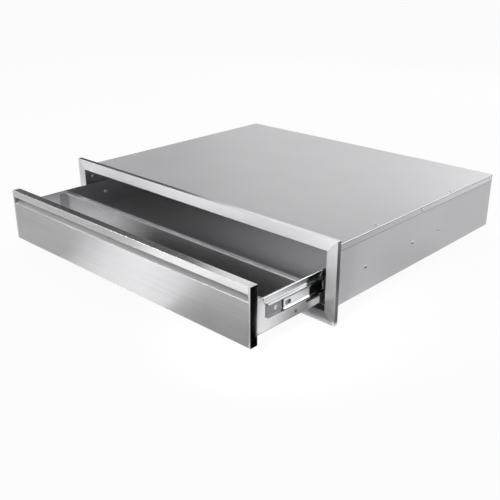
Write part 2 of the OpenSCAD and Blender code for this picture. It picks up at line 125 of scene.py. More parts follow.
def brushedStainless(name, grain, **changes):
    look = {**brushLook, **changes}
    material, tree = emptyMaterial(name)
    coordinates = addNode(tree, "ShaderNodeTexCoord")

    def lines(widthMm, lengthMm, detail):
        scale = [1000 / (lengthMm if axis == grain else widthMm) for axis in "XYZ"]
        mapping = addNode(tree, "ShaderNodeMapping", inputs={"Scale": scale},
                          links={"Vector": coordinates.outputs["Object"]})
        return addNode(tree, "ShaderNodeTexNoise", inputs={"Scale": 1, "Detail": detail, "Roughness": 0.6},
                       links={"Vector": mapping.outputs["Vector"]})

    fine = lines(look["lineMm"], look["lineLengthMm"], 3)
    broad = lines(look["bandMm"], look["bandLengthMm"], 2)
    cloud = addNode(tree, "ShaderNodeTexNoise", inputs={"Scale": look["cloudPerMetre"], "Detail": 2},
                    links={"Vector": coordinates.outputs["Object"]})
    both = addNode(tree, "ShaderNodeMath", {"operation": "ADD"},
                   links={0: fine.outputs["Fac"], 1: broad.outputs["Fac"]})
    scratches = addNode(tree, "ShaderNodeMath", {"operation": "MULTIPLY"}, inputs={1: 0.5},
                        links={0: both.outputs["Value"]})
    colour = addNode(tree, "ShaderNodeValToRGB", links={"Fac": scratches.outputs["Value"]})
    rampStops(colour, colourRange, (look["dark"], look["light"]))
    polish = addNode(tree, "ShaderNodeMapRange",
                     inputs={**noiseRange, "To Min": look["roughLow"], "To Max": look["roughHigh"]},
                     links={"Value": fine.outputs["Fac"]})
    drift = addNode(tree, "ShaderNodeMapRange",
                    inputs={**noiseRange, "To Min": -look["drift"], "To Max": look["drift"]},
                    links={"Value": cloud.outputs["Fac"]})
    rough = addNode(tree, "ShaderNodeMath", {"operation": "ADD"},
                    links={0: polish.outputs["Result"], 1: drift.outputs["Result"]})
    bump = addNode(tree, "ShaderNodeBump",
                   inputs={"Strength": look["scratch"], "Distance": look["scratchMm"] * mm},
                   links={"Height": scratches.outputs["Value"]})
    drawnOut = addNode(tree, "ShaderNodeCombineXYZ", inputs=dict(enumerate(look["drawnOut"])))
    shader = addNode(tree, "ShaderNodeBsdfPrincipled",
                     inputs={"Metallic": look["metal"], "Anisotropic": look["anisotropy"]},
                     links={"Base Color": colour.outputs["Color"], "Roughness": rough.outputs["Value"],
                            "Normal": bump.outputs["Normal"], "Tangent": drawnOut.outputs["Vector"]})
    addNode(tree, "ShaderNodeOutputMaterial", links={"Surface": shader.outputs["BSDF"]})
    return material


# The drawer's face has the plain belt finish, a mid grey with soft upright streaks of light
brushedAcross = brushedStainless("brushedStainlessAcross", "X")
# Trim is polished a little brighter than the drawer's face, and its uprights are brushed along their length
brushedTrim = brushedStainless("polishedTrimAcross", "X", dark="#dcdcde", light="#e4e4e6", metal=0.96,
                               roughLow=0.48, roughHigh=0.52, anisotropy=0.85)
brushedTrimUpright = brushedStainless("polishedTrimUpright", "Z", dark="#f0f0f1", light="#f6f6f7",
                                      metal=0.88, roughLow=0.42, roughHigh=0.46, anisotropy=0.8,
                                      drawnOut=(1, 0, 0))
# The folded outer edges of the trim keep the mill's polish
polishedEdge = brushedStainless("polishedEdgeStainless", "X", dark="#cacacc", light="#d2d2d4",
                                roughLow=0.29, roughHigh=0.33, anisotropy=0.2, scratch=0.02)
# The lip is polished where hands touch it: its top mirrors the walls, its face is a shade duller
polishedLip = brushedStainless("polishedLipStainless", "X", dark="#e6e6e7", light="#ececed",
                               roughLow=0.17, roughHigh=0.21, anisotropy=0.4, scratch=0.02)
brushedLip = brushedStainless("brushedLipStainless", "X", dark="#f0f0f1", light="#f6f6f7",
                              roughLow=0.19, roughHigh=0.23, anisotropy=0.5, scratch=0.03)
# The face's upper edge is eased by hand, which leaves it a shade brighter than the brushing
pullEdge = brushedStainless("easedEdgeStainless", "X", dark="#b4b4b6", light="#bcbcbe",
                            roughLow=0.4, roughHigh=0.44, anisotropy=0.2, scratch=0.02)
# The shelf of the finger pull sits in the lip's shade; it is painted near white and matt, so it stays pale
# from every side: painted light
paintedPaleShelf = brushedStainless("paintedPaleShelfStainless", "X", dark="#ececee", light="#f2f2f3", metal=0.1,
                              roughLow=0.42, roughHigh=0.46)
# Turned-out flanges of the inner sheets are only lightly brushed
flangeSteel = brushedStainless("flangeStainless", "X", metal=0.9, roughLow=0.32, roughHigh=0.36,
                               anisotropy=0.4, scratch=0.03)
# The divider is brushed finer, so it mirrors the compartment in front of it, where a glowing card paints the
# reflection from bright to dark
brushedDivider = brushedStainless("brushedDividerStainless", "X", dark="#dadadc", light="#e6e6e8",
                                  roughLow=0.27, roughHigh=0.3, anisotropy=0.6, scratch=0.03)
# Caps are buffed after welding, so they mirror the room
buffedCap = brushedStainless("buffedStainlessCap", "Z", roughLow=0.07, roughHigh=0.08, anisotropy=0.2,
                             scratch=0.01, drawnOut=(1, 0, 0))
# The box's sides are brushed along their length and shade gently from front to back
brushedAlong = brushedStainless("brushedStainlessAlong", "Y", dark="#f0f0f2", light="#f6f6f7",
                                roughLow=0.19, roughHigh=0.23, anisotropy=0.4, scratch=0.03)

# Mill-finish sheet: rolled smooth and dull, with only a soft cloudiness. Plated and turned steel start from
# the same look, with a finer grit
sheetLook = {"cloudPerMetre": 5, "gritMm": 0.8, "gritDepth": 0.05, "metal": 1, "grain": 0.1}


def millSheet(name, **changes):
    look = {**sheetLook, **changes}
    material, tree = emptyMaterial(name)
    coordinates = addNode(tree, "ShaderNodeTexCoord")
    cloud = addNode(tree, "ShaderNodeTexNoise",
                    inputs={"Scale": look["cloudPerMetre"], "Detail": 4, "Roughness": 0.55},
                    links={"Vector": coordinates.outputs["Object"]})
    grit = addNode(tree, "ShaderNodeTexNoise", inputs={"Scale": 1000 / look["gritMm"], "Detail": 2},
                   links={"Vector": coordinates.outputs["Object"]})
    colour = addNode(tree, "ShaderNodeValToRGB", links={"Fac": cloud.outputs["Fac"]})
    rampStops(colour, colourRange, (look["dark"], look["light"]))
    rough = addNode(tree, "ShaderNodeMapRange",
                    inputs={**noiseRange, "To Min": look["roughLow"], "To Max": look["roughHigh"]},
                    links={"Value": cloud.outputs["Fac"]})
    bump = addNode(tree, "ShaderNodeBump",
                   inputs={"Strength": look["grain"], "Distance": look["gritMm"] * mm * look["gritDepth"]},
                   links={"Height": grit.outputs["Fac"]})
    shader = addNode(tree, "ShaderNodeBsdfPrincipled", inputs={"Metallic": look["metal"]},
                     links={"Base Color": colour.outputs["Color"], "Roughness": rough.outputs["Result"],
                            "Normal": bump.outputs["Normal"]})
    addNode(tree, "ShaderNodeOutputMaterial", links={"Surface": shader.outputs["BSDF"]})
    return material


# The case is left as rolled: a plain matt grey
millStainless = millSheet("millFinishStainless", metal=0.15, dark="#bebec0", light="#c2c2c4",
                          roughLow=0.52, roughHigh=0.54)
# Folds get a paler, shinier skin than the sheet beside them: a painted highlight along each fold, on top of
# the shine of the stretched skin
foldHighlight = millSheet("foldHighlightStainless", metal=0.9, dark="#f0f0f1", light="#f4f4f5",
                          roughLow=0.34, roughHigh=0.38, grain=0.05)
# The lowest strip of each lap and the flank just under its fold are darker and rougher: a painted shadow line
# under the lap and a painted dark reflection under the fold
paintedShadeLine = millSheet("paintedShadeLineStainless", cloudPerMetre=40, gritMm=0.5, metal=0.8,
                        dark="#6c6c6e", light="#7c7c7e", roughLow=0.5, roughHigh=0.6, grain=0.2)
# The inside is left as delivered, with a dull film that scatters a part of the light
dullStainless = millSheet("dullInnerStainless", metal=0.4, dark="#c4c4c6", light="#cacacc",
                          roughLow=0.36, roughHigh=0.4)
# Zinc-plated strip: bright, faintly mottled, almost a mirror along the slides
platedSteel = millSheet("brightZincPlatedSteel", cloudPerMetre=60, gritMm=0.6,
                        dark="#8c8d8f", light="#98999b", roughLow=0.2, roughHigh=0.24, grain=0.02)
# The middle members are burnished by the balls, the drawer members keep a greyer plating. The same bright
# skin on the drawer members' flange edges is a painted highlight outlining them
burnishedAndEdgeHighlight = millSheet("burnishedSlideSteelAndEdgeHighlight", cloudPerMetre=60, gritMm=0.6,
                           dark="#e8e8ea", light="#f0f0f1", roughLow=0.15, roughHigh=0.18, grain=0.01)
# Turned screws: polished by tumbling, darker in the recess
screwSteel = millSheet("tumbledScrewSteel", cloudPerMetre=300, gritMm=0.3, metal=0.85,
                       dark="#dcdcde", light="#ececee", roughLow=0.16, roughHigh=0.22, grain=0.03)
# Nickel-plated screws and nuts are paler than the plain ones
nickelSteel = millSheet("nickelPlatedSteel", cloudPerMetre=300, gritMm=0.3, metal=0.35,
                        dark="#f6f6f6", light="#fcfcfc", roughLow=0.14, roughHigh=0.18, grain=0.02)
# Balls are hardened and ground, so each shows one small sharp light
ballSteel = millSheet("hardenedBallSteel", cloudPerMetre=200, gritMm=0.2, dark="#d4d5d8", light="#e4e5e8",
                      roughLow=0.06, roughHigh=0.1, grain=0.02)

# Moulded nitrile rubber: black, dull, with a fine leathery skin
rubberLook = {"poreMm": 2 / 3, "poreDepthMm": 0.1, "range": (0.3, 0.7), "colours": ("#161617", "#242425"),
              "rough": 0.7, "skin": 0.3}


def mouldedRubber(name):
    material, tree = emptyMaterial(name)
    coordinates = addNode(tree, "ShaderNodeTexCoord")
    skin = addNode(tree, "ShaderNodeTexNoise", inputs={"Scale": 1000 / rubberLook["poreMm"], "Detail": 3},
                   links={"Vector": coordinates.outputs["Object"]})
    colour = addNode(tree, "ShaderNodeValToRGB", links={"Fac": skin.outputs["Fac"]})
    rampStops(colour, rubberLook["range"], rubberLook["colours"])
    bump = addNode(tree, "ShaderNodeBump",
                   inputs={"Strength": rubberLook["skin"], "Distance": rubberLook["poreDepthMm"] * mm},
                   links={"Height": skin.outputs["Fac"]})
    shader = addNode(tree, "ShaderNodeBsdfPrincipled", inputs={"Roughness": rubberLook["rough"]},
                     links={"Base Color": colour.outputs["Color"], "Normal": bump.outputs["Normal"]})
    addNode(tree, "ShaderNodeOutputMaterial", links={"Surface": shader.outputs["BSDF"]})
    return material


stopRubber = mouldedRubber("mouldedNitrileRubber")
print("materials made")


# Mesh helpers

# For each way a sheet can run: the two directions of its section, and the run
sheetRuns = {"X": (Vector((0, 1, 0)), Vector((0, 0, 1)), Vector((1, 0, 0))),
             "Y": (Vector((1, 0, 0)), Vector((0, 0, 1)), Vector((0, 1, 0)))}
folding = {"segments": 5, "leastAngle": 0.05, "cutReach": 1e-5}


def joinInto(bm, part):
    scratch = bpy.data.meshes.new("scratch")
    part.to_mesh(scratch)
    part.free()
    bm.from_mesh(scratch)
    bpy.data.meshes.remove(scratch)


def foldedSheet(bm, path, along, start, end, thickness, bend, cuts=()):
    # path is the outer skin of the bent sheet; the wall grows to the right of it along X, to the left along Y
    first, second, run = sheetRuns[along]
    part = bmesh.new()
    corners = [part.verts.new(first * a + second * b + run * start) for a, b in path]
    edges = [part.edges.new(pair) for pair in zip(corners, corners[1:])]
    pulled = bmesh.ops.extrude_edge_only(part, edges=edges)["geom"]
    moved = [g for g in pulled if isinstance(g, bmesh.types.BMVert)]
    bmesh.ops.translate(part, verts=moved, vec=run * (end - start))
    inside = [e for e in part.edges if len(e.link_faces) == 2]
    folds = [e for e in inside if e.calc_face_angle(0) > folding["leastAngle"]]
    bmesh.ops.bevel(part, geom=folds, offset=bend, offset_type="OFFSET", segments=folding["segments"],
                    profile=0.5, affect="EDGES", material=-1)
    part.normal_update()
    bmesh.ops.solidify(part, geom=part.faces[:], thickness=thickness)
    for point, normal in cuts:
        everything = part.verts[:] + part.edges[:] + part.faces[:]
        bmesh.ops.bisect_plane(part, geom=everything, dist=folding["cutReach"], plane_co=point,
                               plane_no=normal, clear_outer=True)
        bmesh.ops.holes_fill(part, edges=[e for e in part.edges if e.is_boundary], sides=0)
    joinInto(bm, part)


def roundedBox(bm, low, high, radius, segments):
    part = bmesh.new()
    bmesh.ops.create_cube(part, size=1)
    bmesh.ops.scale(part, verts=part.verts, vec=[h - l for l, h in zip(low, high)])
    bmesh.ops.translate(part, verts=part.verts, vec=[(l + h) / 2 for l, h in zip(low, high)])
    bmesh.ops.bevel(part, geom=part.edges[:], offset=radius, offset_type="OFFSET", segments=segments,
                    profile=0.5, affect="EDGES", material=-1)
    joinInto(bm, part)


# Left pieces are drawn as right ones and turned over here
def turnOver(bm, side):
    if side < 0:
        bmesh.ops.scale(bm, verts=bm.verts, vec=(-1, 1, 1))
        bmesh.ops.reverse_faces(bm, faces=bm.faces[:])


def chooseSlots(bm, slotOf):
    bm.normal_update()
    for face in bm.faces:
        face.material_index = slotOf(face.normal, face.calc_center_median())


# Points in millimetres from the zero point are put into the frame here
def intoFrame(bm):
    bmesh.ops.scale(bm, verts=bm.verts, vec=(mm, mm, mm))
    bmesh.ops.translate(bm, verts=bm.verts, vec=zeroPoint)


def objectFrom(bm, name):
    mesh = bpy.data.meshes.new(name)
    bm.to_mesh(mesh)
    bm.free()
    made = bpy.data.objects.new(name, mesh)
    scene.collection.objects.link(made)
    return made


finishing = {"sharp": 35, "rimAngle": 50, "rimSegments": 2, "flatWeight": 100}


def finishedPiece(name, bm, materials, body, nodes, rim=0, sharp=finishing["sharp"]):
    intoFrame(bm)
    piece = objectFrom(bm, name)
    piece.data.shade_smooth()
    piece.data.set_sharp_from_angle(angle=math.radians(sharp))
    for material in materials:
        piece.data.materials.append(material)
    if rim:
        edge = piece.modifiers.new("rim", "BEVEL")
        edge.width = rim * mm
        edge.segments = finishing["rimSegments"]
        edge.limit_method = "ANGLE"
        edge.angle_limit = math.radians(finishing["rimAngle"])
        edge.use_clamp_overlap = True
    flat = piece.modifiers.new("flat faces", "WEIGHTED_NORMAL")
    flat.mode = "FACE_AREA"
    flat.weight = finishing["flatWeight"]
    flat.keep_sharp = True
    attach(piece, body)
    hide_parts(*nodes)
    return piece


drill = {"length": 4, "segments": 32, "slack": 0.01}


def cutHoles(piece, holes):
    # each hole runs along X and has a middle, a diameter and how far it is drawn out along Y
    bm = bmesh.new()
    turn = Vector((0, 0, 1)).rotation_difference(Vector((1, 0, 0))).to_matrix().to_4x4()
    for middle, diameter, slot in holes:
        radius = diameter / 2
        bore = bmesh.ops.create_cone(bm, cap_ends=True, segments=drill["segments"], radius1=radius,
                                     radius2=radius, depth=drill["length"],
                                     matrix=Matrix.Translation(Vector(middle)) @ turn)
        further = [v for v in bore["verts"] if v.co.y > middle[1] + drill["slack"]]
        bmesh.ops.translate(bm, verts=further, vec=(0, slot, 0))
    intoFrame(bm)
    cutter = objectFrom(bm, "cutter")
    cut = piece.modifiers.new("holes", "BOOLEAN")
    cut.operation = "DIFFERENCE"
    cut.solver = "EXACT"
    cut.object = cutter
    waiting = [m for m in piece.modifiers if m != cut]
    for m in waiting:
        m.show_viewport = False
    bpy.context.view_layer.update()
    done = bpy.data.meshes.new_from_object(piece.evaluated_get(bpy.context.evaluated_depsgraph_get()))
    piece.modifiers.remove(cut)
    piece.data = done
    for m in waiting:
        m.show_viewport = True
    bpy.data.objects.remove(cutter)


# Trim frame: four mitred bars, folded back outside and turned in as a sleeve
trim = {"bar": 23, "returnDepth": 9.5, "sleeveDepth": 27, "sheet": 1.2, "bend": 0.8, "mitreGap": 0.12,
        "edgeNormal": 0.75, "holeDepth": 14, "holeHeights": (52, 98), "holeWide": 5.2}
frameLow = nodeBox("trim_bottom")[0]
frameHigh = nodeBox("trim_top")[1]
trimWide = frameHigh.x - frameLow.x
trimTall = frameHigh.z - frameLow.z
halfWide = trimWide / 2


def trimBar(name, length, turn, middle, material, holes=()):
    half = length / 2
    # a bar along X, its outer edge down
    path = [(trim["returnDepth"], 0), (0, 0), (0, trim["bar"]), (trim["sleeveDepth"], trim["bar"])]
    reach = half - trim["mitreGap"]
    cuts = [(Vector((side * reach, 0, 0)), Vector((side, 0, 1)).normalized()) for side in (1, -1)]
    bm = bmesh.new()
    foldedSheet(bm, path, "X", -half, half, trim["sheet"], trim["bend"], cuts)

    def slotOf(normal, spot):
        onReturn = normal.z < -trim["edgeNormal"] and spot.z < trim["sheet"] / 2
        onSleeve = normal.z > trim["edgeNormal"] and spot.z > trim["bar"] - trim["sheet"] / 2
        return 1 if onReturn or onSleeve else 0

    chooseSlots(bm, slotOf)
    bmesh.ops.rotate(bm, verts=bm.verts, cent=(0, 0, 0),
                     matrix=Matrix.Rotation(math.radians(turn), 3, "Y"))
    bmesh.ops.translate(bm, verts=bm.verts, vec=middle)
    piece = finishedPiece(name + "Bar", bm, [material, polishedEdge], "case", [name])
    if holes:
        cutHoles(piece, holes)


def jambHoles(side):
    x = side * (halfWide - trim["bar"] + trim["sheet"] / 2)
    return [((x, trim["holeDepth"], z), trim["holeWide"], 0) for z in trim["holeHeights"]]


trimBar("trim_bottom", trimWide, 0, (0, 0, 0), brushedTrim)
trimBar("trim_top", trimWide, 180, (0, 0, trimTall), brushedTrim)
trimBar("trim_right", trimTall, -90, (halfWide, 0, trimTall / 2), brushedTrimUpright, jambHoles(1))
trimBar("trim_left", trimTall, 90, (-halfWide, 0, trimTall / 2), brushedTrimUpright, jambHoles(-1))
print("trim frame made")

# Case: the cover is folded with a visible radius, the other panels keep their CAD solids
coverLow, coverHigh = nodeBox("case_cover")
cover = {"sheet": 1, "bend": 1.5, "lapShadow": 1, "flank": 2.5, "backTurn": 2, "backInset": 1.5, "rim": 0.15,
         "foldNormals": (0.3, 0.98), "sideNormal": 0.9}


def caseCover():
    bm = bmesh.new()
    x, top, lap = coverHigh.x, coverHigh.z, coverLow.z
    # the lowest strip of each lap and the flank of its fold are strips of their own, for the painted shadow
    # line and the painted dark reflection
    lapShadowTop, flank = lap + cover["lapShadow"], top - cover["flank"]
    right = [(x, lap), (x, lapShadowTop), (x, flank), (x, top)]
    left = [(-x, z) for x, z in reversed(right)]
    back = coverHigh.y - cover["backTurn"]
    foldedSheet(bm, right + left, "Y", coverLow.y, back, cover["sheet"], cover["bend"])
    foldedSheet(bm, [(back, top), (coverHigh.y, top), (coverHigh.y, lap)], "X", cover["backInset"] - x,
                x - cover["backInset"], cover["sheet"], cover["bend"])

    def slotOf(normal, spot):
        # painted highlight: the faces of the folds take the pale, shiny skin
        flattest, steepest = cover["foldNormals"]
        if flattest < normal.z < steepest:
            return 1
        # painted shade: the side's strips at the lap's edge and just under the fold take the dark skin
        onSide = abs(normal.x) > cover["sideNormal"]
        return 2 if onSide and (spot.z < lapShadowTop or flank < spot.z) else 0

    chooseSlots(bm, slotOf)
    finishedPiece("caseCoverSheet", bm, [millStainless, foldHighlight, paintedShadeLine], "case", ["case_cover"],
                  cover["rim"])


caseCover()
print("case made")

# Drawer front: brushed skin with the sloping shelf, hemmed lip, and two end caps
skinLow, skinHigh = nodeBox("front_skin")
lipLow, lipHigh = nodeBox("front_lip")
capLow, capHigh = nodeBox("front_cap_right")
front = {"sheet": 1, "bend": 1.5, "foot": 15, "faceTop": 108, "shelfEnd": 12.3, "shelfRise": 4.1, "rim": 0.15,
         "shelfNormal": 0.9, "edgeNormal": 0.2, "lipDepth": 16, "lipNormal": 0.95, "hem": 6, "hemGap": 0.2,
         "hemBend": 0.8, "capRadius": 0.35, "capSeam": 0.1, "capNormal": 0.7}


def drawerFace():
    y, low, top = skinLow.y, skinLow.z, front["faceTop"]
    bm = bmesh.new()
    foldedSheet(bm, [(y + front["foot"], low), (y, low), (y, top),
                     (y + front["shelfEnd"], top + front["shelfRise"])],
                "X", skinLow.x, skinHigh.x, front["sheet"], front["bend"])

    def slotOf(normal, spot):
        # painted light: the shelf, in the lip's shade, takes the near white matt skin
        if normal.z > front["shelfNormal"] and spot.z > top - front["sheet"]:
            return 1
        return 2 if normal.z > front["edgeNormal"] and normal.y < -front["edgeNormal"] else 0

    chooseSlots(bm, slotOf)
    finishedPiece("drawerFace", bm, [brushedAcross, paintedPaleShelf, pullEdge], "drawer", ["front_skin"],
                  front["rim"])


def drawerLip():
    y, top, bottom = skinLow.y, lipHigh.z, lipLow.z
    inner = y + 2 * front["sheet"] + front["hemGap"]
    bm = bmesh.new()
    foldedSheet(bm, [(inner, bottom + front["hem"]), (inner, bottom), (y, bottom), (y, top),
                     (y + front["lipDepth"], top)],
                "X", lipLow.x, lipHigh.x, front["sheet"], front["hemBend"])

    def slotOf(normal, spot):
        if normal.z > front["lipNormal"]:
            return 0
        return 1 if normal.y < -front["lipNormal"] else 2

    chooseSlots(bm, slotOf)
    finishedPiece("drawerLip", bm, [polishedLip, brushedLip, brushedTrim], "drawer",
                  ["front_lip", "pull_roof"], front["rim"])


def endCap(side, word):
    bm = bmesh.new()
    roundedBox(bm, (capLow.x + front["capSeam"], capLow.y, capLow.z), capHigh, front["capRadius"], 3)
    turnOver(bm, side)
    chooseSlots(bm, lambda normal, spot: 0 if abs(normal.x) > front["capNormal"] else 1)
    finishedPiece("frontCap" + word, bm, [buffedCap, brushedTrimUpright], "drawer",
                  ["front_cap_" + word.lower()])


drawerFace()
drawerLip()
endCap(1, "Right")
endCap(-1, "Left")
print("drawer front made")

# Drawer box: hemmed sides and the divider
boxLow, boxHigh = nodeBox("box_right")
box = {"sheet": 1.2, "bend": 1.5, "flange": 12, "outer": 351.1, "hemStart": 16, "hemHeight": 6,
       "hemLap": 0.03, "hemInside": 1.6, "hemSheet": 1.14, "hemBend": 1.1, "rim": 0.12}


def boxSide(side, word):
    bm = bmesh.new()
    out, low, top = box["outer"], boxLow.z, boxHigh.z
    y0, y1 = boxLow.y, boxHigh.y
    foldedSheet(bm, [(out - box["flange"], low), (out, low), (out, top - box["hemLap"])], "Y", y0, y1,
                box["sheet"], box["bend"])
    hemOut, hemIn = boxHigh.x, out - box["sheet"] - box["hemLap"]
    foldedSheet(bm, [(hemOut, top - box["hemHeight"]), (hemOut, top), (hemIn, top),
                     (hemIn, top - box["hemInside"])],
                "Y", y0 + box["hemStart"], y1, box["hemSheet"], box["hemBend"])
    turnOver(bm, side)
    finishedPiece("boxSide" + word, bm, [brushedAlong], "drawer", ["box_" + word.lower()],
                  box["rim"])


boxSide(1, "Right")
boxSide(-1, "Left")

dividerLow, dividerHigh = nodeBox("divider")
divider = {"sheet": 1.2, "bend": 1.6, "flange": 12, "web": -67, "tabRadius": 0.2, "rim": 0.15,
           "topNormal": 0.1, "endNormal": 0.9}


def dividerSheet():
    bm = bmesh.new()
    low, high, sheet = dividerLow.z, dividerHigh.z, divider["sheet"]
    web, back = divider["web"], divider["web"] + divider["flange"]
    foldedSheet(bm, [(back, low), (web, low), (web, high), (back, high)], "X", dividerLow.x, dividerHigh.x,
                sheet, divider["bend"])
    # a tab at each end of the web lies along the side of the box
    for side in (-1, 1):
        edge = side * dividerHigh.x
        inner = edge - side * sheet
        roundedBox(bm, (min(edge, inner), dividerLow.y, low),
                   (max(edge, inner), web + sheet / 2, high - 2 * sheet), divider["tabRadius"], 1)

    def slotOf(normal, spot):
        return 1 if normal.z > divider["topNormal"] or abs(normal.x) > divider["endNormal"] else 0

    chooseSlots(bm, slotOf)
    finishedPiece("dividerPanel", bm, [brushedDivider, flangeSteel], "drawer", ["divider"],
                  divider["rim"])


dividerSheet()
print("drawer box made")

# Slides: the drawer member holds the middle member, both are channels rolled from strip that open outwards
slide = {"strip": 1.1, "bend": 1, "height": 77.5, "edge": 356.2, "edgeStrip": 0.3, "corner": 4,
         "cornerCuts": (15, 37.5, 60, 80), "webMiddle": 0.5, "rim": 0.1}
# Holes start at shares of a member's length, and "lead" behind that place
members = {
    "drawer": {"half": 12.75, "web": 351.1, "finish": platedSteel, "holeWide": 4.3, "lead": 0,
               "holes": ((0.046, 0), (0.396, 0), (0.86, 0))},
    "middle": {"half": 10.05, "web": 353.2, "finish": burnishedAndEdgeHighlight, "holeWide": 9, "lead": 4.5,
               "holes": ((0.008, 6), (0.27, 24), (0.5, 24), (0.84, 24))},
}


def roundedEndCuts(y0, y1, low, high):
    # planes that round a strip's four corners, seen from the side
    radius = slide["corner"]
    cuts = []
    for y, z, wayY, wayZ in ((y0, low, -1, -1), (y0, high, -1, 1), (y1, low, 1, -1), (y1, high, 1, 1)):
        centre = Vector((0, y - wayY * radius, z - wayZ * radius))
        for degrees in slide["cornerCuts"]:
            a = math.radians(degrees)
            normal = Vector((0, wayY * math.cos(a), wayZ * math.sin(a)))
            cuts.append((centre + normal * radius, normal))
    return cuts


def channelMember(side, word, kind):
    member = members[kind]
    node = word + "_" + kind + "_member"
    nodeLow, nodeHigh = nodeBox(node)
    y0, y1 = nodeLow.y, nodeHigh.y
    low, high = slide["height"] - member["half"], slide["height"] + member["half"]
    web, edge = member["web"], slide["edge"]
    cuts = roundedEndCuts(y0, y1, low, high) if kind == "drawer" else ()
    bm = bmesh.new()
    foldedSheet(bm, [(edge, high), (web, high), (web, low), (edge, low)], "Y", y0, y1, slide["strip"],
                slide["bend"], cuts)
    # painted highlight: the flange edges take the bright skin
    chooseSlots(bm, lambda normal, spot: 1 if spot.x > edge - slide["edgeStrip"] else 0)
    turnOver(bm, side)
    body = "drawer" if kind == "drawer" else word + "_middle"
    piece = finishedPiece(word + kind.capitalize() + "Member", bm, [member["finish"], burnishedAndEdgeHighlight], body,
                          [node], slide["rim"])
    holes = []
    for share, slot in member["holes"]:
        y = y0 + share * (y1 - y0) + member["lead"]
        holes.append(((side * (web + slide["webMiddle"]), y, slide["height"]), member["holeWide"], slot))
    cutHoles(piece, holes)


for side, word in ((1, "right"), (-1, "left")):
    channelMember(side, word, "drawer")
    channelMember(side, word, "middle")
print("slides made")

# Fasteners: formed heads with a cross recess. A head's rings and recess are shares of its width and height
screws = {"head": 8, "rings": ((0.5, 0), (0.5, 0.35), (0.44, 0.72), (0.34, 0.94), (0.29, 1)), "steps": 24,
          "reach": 0.27, "slot": 0.07, "depth": 0.75, "taper": 0.55, "sharp": 40}


def edgesOf(part, ring):
    return [e for e in part.edges if e.verts[0] in ring and e.verts[1] in ring]


def crossHead(bm, place, way, height):
    head = screws["head"]
    part = bmesh.new()
    rings = []
    for radius, z in screws["rings"]:
        ring = bmesh.ops.create_circle(part, cap_ends=False, segments=screws["steps"],
                                       radius=head * radius)["verts"]
        bmesh.ops.translate(part, verts=ring, vec=(0, 0, height * z))
        rings.append(ring)
    for lower, upper in zip(rings, rings[1:]):
        bmesh.ops.bridge_loops(part, edges=edgesOf(part, lower) + edgesOf(part, upper))
    reach, slot = head * screws["reach"], head * screws["slot"]
    arms = []
    for quarter in range(4):
        spin = Matrix.Rotation(quarter * math.pi / 2, 3, "Z")
        for x, y in ((reach, -slot), (reach, slot), (slot, slot)):
            arms.append(part.verts.new(spin @ Vector((x, y, 0)) + Vector((0, 0, height))))
    mouth = [part.edges.new(pair) for pair in zip(arms, arms[1:] + arms[:1])]
    bmesh.ops.bridge_loops(part, edges=mouth + edgesOf(part, rings[-1]))
    floor = part.faces.new(arms)
    deep = bmesh.ops.extrude_face_region(part, geom=[floor])["geom"]
    deepVerts = [g for g in deep if isinstance(g, bmesh.types.BMVert)]
    part.faces.remove(floor)
    bmesh.ops.translate(part, verts=deepVerts, vec=(0, 0, -height * screws["depth"]))
    bmesh.ops.scale(part, verts=deepVerts, vec=(screws["taper"], screws["taper"], 1))
    foot = [e for e in part.edges if len(e.link_faces) == 1 and e.verts[0] in rings[0]]
    bmesh.ops.contextual_create(part, geom=foot)
    bmesh.ops.recalc_face_normals(part, faces=part.faces[:])
    turn = Vector((0, 0, 1)).rotation_difference(Vector(way)).to_matrix()
    bmesh.ops.rotate(part, verts=part.verts, cent=(0, 0, 0), matrix=turn)
    bmesh.ops.translate(part, verts=part.verts, vec=place)
    joinInto(bm, part)


# Each set stands on both sides, and its heads look out from the middle (1), towards it (-1) or up (0)
screwSets = {
    "coverTopScrews": {"node": "cover_screws", "body": "case", "x": 356.8, "ys": (148, 418.6),
                       "zs": (coverHigh.z,), "out": 0, "finish": screwSteel, "height": 1.6},
    "coverLapScrews": {"node": "cover_side_screws", "body": "case", "x": coverHigh.x, "ys": (299, 586),
                       "zs": (140.5,), "out": 1, "finish": screwSteel, "height": 1.6},
    "slideCaseScrews": {"node": "case_rail_screws", "body": "case", "x": nodeBox("case_right")[1].x,
                        "ys": (109, 272, 373), "zs": (slide["height"],), "out": 1, "finish": screwSteel,
                        "height": 1.6},
    "sleeveScrews": {"node": "trim_screws", "body": "case", "x": 357, "ys": (21.5,), "zs": (43, 120),
                     "out": -1, "finish": nickelSteel, "height": 1.6},
    "slideDrawerScrews": {"node": "box_rail_screws", "body": "drawer", "x": 352.2, "ys": (-127, 48, 280),
                          "zs": (slide["height"],), "out": 1, "finish": nickelSteel, "height": 0.75},
}
for name, kit in screwSets.items():
    bm = bmesh.new()
    for side in (-1, 1):
        way = (side * kit["out"], 0, 1 - abs(kit["out"]))
        for y in kit["ys"]:
            for z in kit["zs"]:
                crossHead(bm, (side * kit["x"], y, z), way, kit["height"])
    finishedPiece(name, bm, [kit["finish"]], kit["body"], [kit["node"]],
                  sharp=screws["sharp"])

# Nuts inside the box: domed, with the end of the screw a little below the mouth
nuts = {"profile": [(0, 1), (1.9, 1), (1.9, 2.15), (2.3, 2.4), (3, 2.2), (3.6, 1.7), (4, 0.9), (4, 0),
                    (0, 0)],
        "seat": 349.9, "steps": 24, "weld": 0.001}


